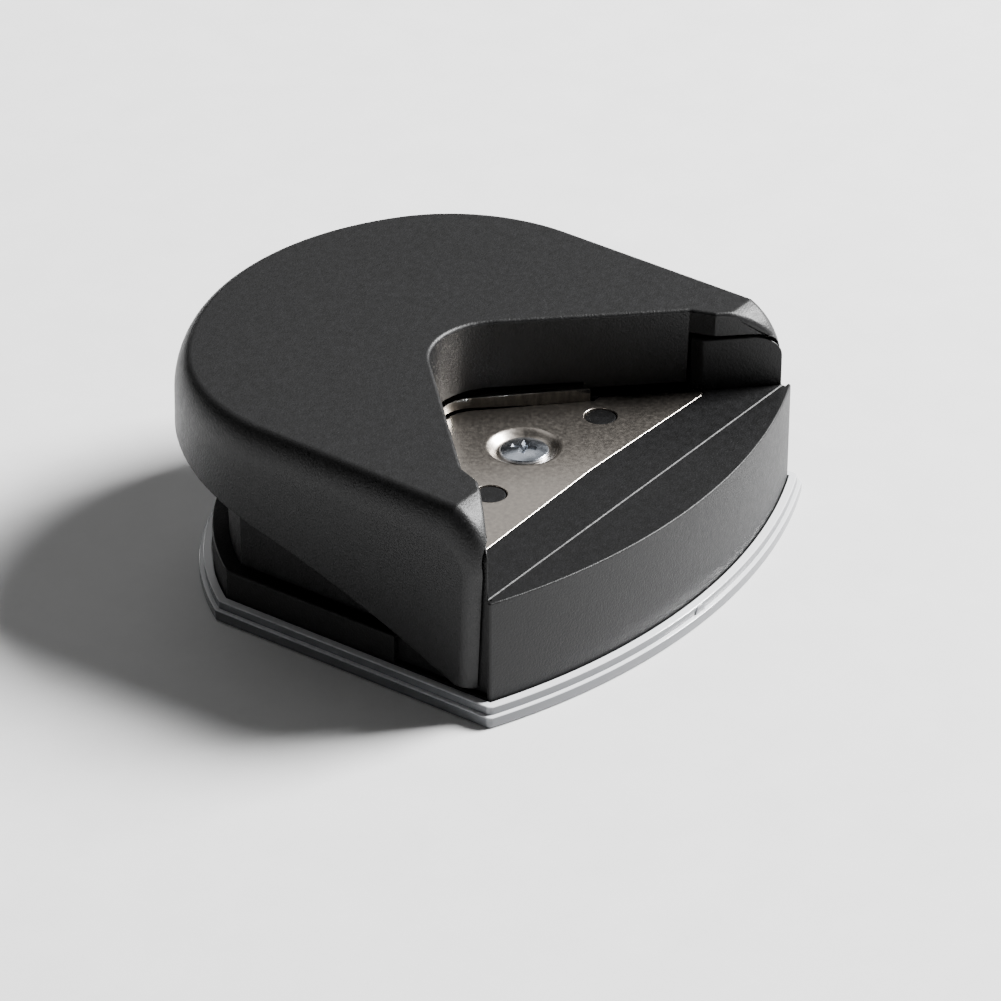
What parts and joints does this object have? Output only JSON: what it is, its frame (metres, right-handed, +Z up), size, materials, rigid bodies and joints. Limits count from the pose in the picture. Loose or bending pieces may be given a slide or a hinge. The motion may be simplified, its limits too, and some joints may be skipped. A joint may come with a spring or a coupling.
{
  "type": "corner rounder",
  "caption": "Palm-sized corner rounder: a pivoted lever drives a guided steel punch past a rounded die plate, and a clear tray underneath catches the scraps.",
  "frame": {"origin": "centre of the overall box, on the flat underside of the scrap tray that the tool stands on", "axes": "+Z up, +Y from the paper mouth towards the rear of the lever, +X to the right of a user facing the paper mouth"},
  "size_m": [0.067, 0.0694, 0.0279],
  "materials": {
    "black_base": "black ABS, fine spark texture",
    "black_lever": "black ABS, fine spark texture",
    "clear_tray": "clear polystyrene",
    "brushed_plate": "brushed stainless sheet",
    "zinc_steel": "bright zinc plating",
    "plain_steel": "ground steel",
    "spring_steel": "drawn spring wire",
    "ground_blade": "hardened steel with ground edge",
    "cast_zinc": "die-cast zinc",
    "bronze_bush": "sintered bronze",
    "white_nylon": "natural nylon"
  },
  "bodies": {
    "base": {"base_housing": "black_base", "die_plate": "brushed_plate", "die_screw": "zinc_steel", "die_nut": "zinc_steel", "pivot_axle": "plain_steel", "spring_carrier": "plain_steel", "carrier_screws": "zinc_steel", "guide_pin_left": "plain_steel", "guide_pin_right": "plain_steel", "spring_seat_left": "zinc_steel", "spring_seat_right": "zinc_steel", "return_spring_left": "spring_steel", "return_spring_right": "spring_steel"},
    "tray": {"scrap_tray": "clear_tray"},
    "punch": {"punch_blade": "ground_blade", "blade_carriage": "cast_zinc", "blade_rivets": "zinc_steel", "guide_bush_left": "bronze_bush", "guide_bush_right": "bronze_bush"},
    "lever": {"lever_cap": "black_lever", "pusher_block": "white_nylon", "pusher_screws": "zinc_steel"}
  },
  "joints": [
    {"name": "lever_press", "type": "hinge", "parent": "base", "child": "lever", "pos_m": [0, -0.01945, 0.008], "axis": [-1, 0, 0], "range_deg": [0, 6.5], "stiffness_Nm_per_rad": 3, "springref_deg": -2.86},
    {"name": "punch_stroke", "type": "slide", "parent": "base", "child": "punch", "axis": [0, 0, -1], "range_m": [0, 0.0034], "deforming": ["return_spring_left", "return_spring_right"]},
    {"name": "tray_release", "type": "slide", "parent": "base", "child": "tray", "axis": [0, 0, -1], "range_m": [0, 0.012]}
  ],
  "couplings": [
    {"joint": "punch_stroke", "follows": "lever_press", "m_per_rad": 0.0295}
  ]
}
